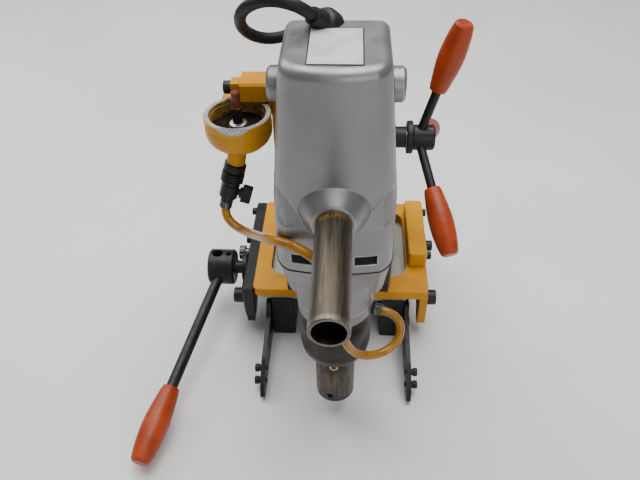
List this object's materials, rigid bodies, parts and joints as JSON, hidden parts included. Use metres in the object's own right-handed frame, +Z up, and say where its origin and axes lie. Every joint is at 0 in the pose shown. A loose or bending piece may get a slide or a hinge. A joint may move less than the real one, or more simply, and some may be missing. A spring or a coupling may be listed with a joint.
{
  "type": "magnetic base drilling machine",
  "caption": "Magnetic base drilling machine: steel magnet rails, swivelling yellow frame, rack-fed motor head with an annular cutter arbor, oil cup and clamp lever.",
  "frame": {"origin": "the middle of the magnet's resting face, midway between the two rails", "axes": "+Z up, -Y towards the operator at the arbor, +X to the operator's right"},
  "size_m": [0.3186, 0.406, 0.4404],
  "materials": {
    "black_steel": "satin",
    "bare_steel": "satin",
    "dark_steel": "satin",
    "bright_screw": "polished",
    "yellow_iron": "satin",
    "yellow_alloy": "satin",
    "silver_alloy": "satin",
    "black_iron": "matte",
    "black_alloy": "matte",
    "grip_red": "gloss",
    "copper": "satin",
    "brass": "satin",
    "amber_hose": "gloss",
    "black_rubber": "matte",
    "black_plastic": "matte",
    "stem_plastic": "satin",
    "green_plastic": "gloss",
    "red_plastic": "gloss"
  },
  "bodies": {
    "magnet": {"magnet_pole_right": "black_steel", "magnet_pole_left": "black_steel", "magnet_coils": "copper", "swivel_plate": "bare_steel", "swivel_pin": "bare_steel", "guard_bracket_right": "black_steel", "guard_bracket_left": "black_steel", "guard_bracket_bolts": "black_steel", "guard_screws": "black_steel"},
    "frame": {"base_frame": "yellow_iron", "side_plate": "black_steel", "flank_screws": "black_steel", "column": "black_iron", "gib": "brass", "foot_screws": "black_steel", "lead_gland": "black_plastic", "feed_flange": "black_steel", "control_box": "black_alloy", "box_screws": "bright_screw", "mains_gland": "black_plastic"},
    "stop_knob": {"stop_knob": "dark_steel"},
    "clamp_lever": {"lever_hub": "black_steel", "lever_rod": "black_steel", "lever_grip": "grip_red"},
    "start_button": {"start_button": "green_plastic"},
    "stop_button": {"stop_button": "red_plastic"},
    "magnet_rocker": {"magnet_rocker": "black_plastic"},
    "feed_capstan": {"feed_pinion": "bare_steel", "feed_hub": "black_steel", "feed_spokes": "black_steel", "feed_grips": "grip_red"},
    "head": {"carriage": "yellow_alloy", "feed_rack": "bare_steel", "gear_case": "silver_alloy", "motor_housing": "silver_alloy", "brush_caps": "silver_alloy", "brush_holders": "brass", "stator": "dark_steel", "armature_bearings": "bright_screw", "spindle_bearings": "bright_screw", "nose": "silver_alloy", "collar": "black_steel", "front_tube": "dark_steel", "oil_cup": "yellow_alloy", "cup_stem": "stem_plastic", "cup_bracket": "yellow_alloy", "cup_bolt": "black_steel", "cock_body": "black_steel", "hose_barb": "black_steel", "oil_hose": "amber_hose", "lead_boot": "black_rubber", "motor_lead": "black_rubber"},
    "arbor_spindle": {"arbor": "dark_steel", "set_screws": "bright_screw", "spindle": "bare_steel"},
    "countershaft": {"counter_gear": "bare_steel"},
    "armature": {"armature": "dark_steel"},
    "oil_cock": {"cock_handle": "black_steel"}
  },
  "joints": [
    {"name": "base_swivel", "type": "hinge", "parent": "magnet", "child": "frame", "pos_m": [0, 0, 0.064], "axis": [0, 0, 1], "range_deg": [-5, 5]},
    {"name": "clamp_lever_turn", "type": "hinge", "parent": "frame", "child": "clamp_lever", "pos_m": [-0.1415, -0.03, 0.061], "axis": [-1, 0, 0], "range_deg": [0, 100]},
    {"name": "stop_knob_turn", "type": "hinge", "parent": "frame", "child": "stop_knob", "pos_m": [-0.118, -0.003, 0.06], "axis": [-1, 0, 0], "range_deg": [-180, 180]},
    {"name": "start_press", "type": "slide", "parent": "frame", "child": "start_button", "axis": [0, -1, 0], "range_m": [0, 0.003], "stiffness_N_per_m": 400},
    {"name": "stop_press", "type": "slide", "parent": "frame", "child": "stop_button", "axis": [0, -1, 0], "range_m": [0, 0.003], "stiffness_N_per_m": 400},
    {"name": "magnet_switch", "type": "hinge", "parent": "frame", "child": "magnet_rocker", "pos_m": [0, 0.054, 0.18], "axis": [1, 0, 0], "range_deg": [-8, 8]},
    {"name": "head_slide", "type": "slide", "parent": "frame", "child": "head", "axis": [0, 0, 1], "range_m": [-0.02, 0.065], "deforming": ["motor_lead"]},
    {"name": "feed_turn", "type": "hinge", "parent": "frame", "child": "feed_capstan", "pos_m": [0, -0.063, 0.272], "axis": [1, 0, 0], "range_deg": [-355, 109.5]},
    {"name": "arbor_spin", "type": "hinge", "parent": "head", "child": "arbor_spindle", "pos_m": [0, -0.175, 0.115], "axis": [0, 0, 1], "continuous": true},
    {"name": "countershaft_spin", "type": "hinge", "parent": "head", "child": "countershaft", "pos_m": [0, -0.135, 0.21], "axis": [0, 0, 1], "continuous": true},
    {"name": "armature_spin", "type": "hinge", "parent": "head", "child": "armature", "pos_m": [0, -0.16, 0.31], "axis": [0, 0, 1], "continuous": true},
    {"name": "oil_cock_turn", "type": "hinge", "parent": "head", "child": "oil_cock", "pos_m": [-0.0943, -0.13544, 0.26249], "axis": [0.9573, -0.0425, -0.286], "range_deg": [0, 90]}
  ],
  "couplings": [
    {"joint": "feed_turn", "follows": "head_slide", "rad_per_m": -95.238},
    {"joint": "countershaft_spin", "follows": "arbor_spin", "ratio": -3.4444},
    {"joint": "armature_spin", "follows": "arbor_spin", "ratio": 12.212}
  ]
}
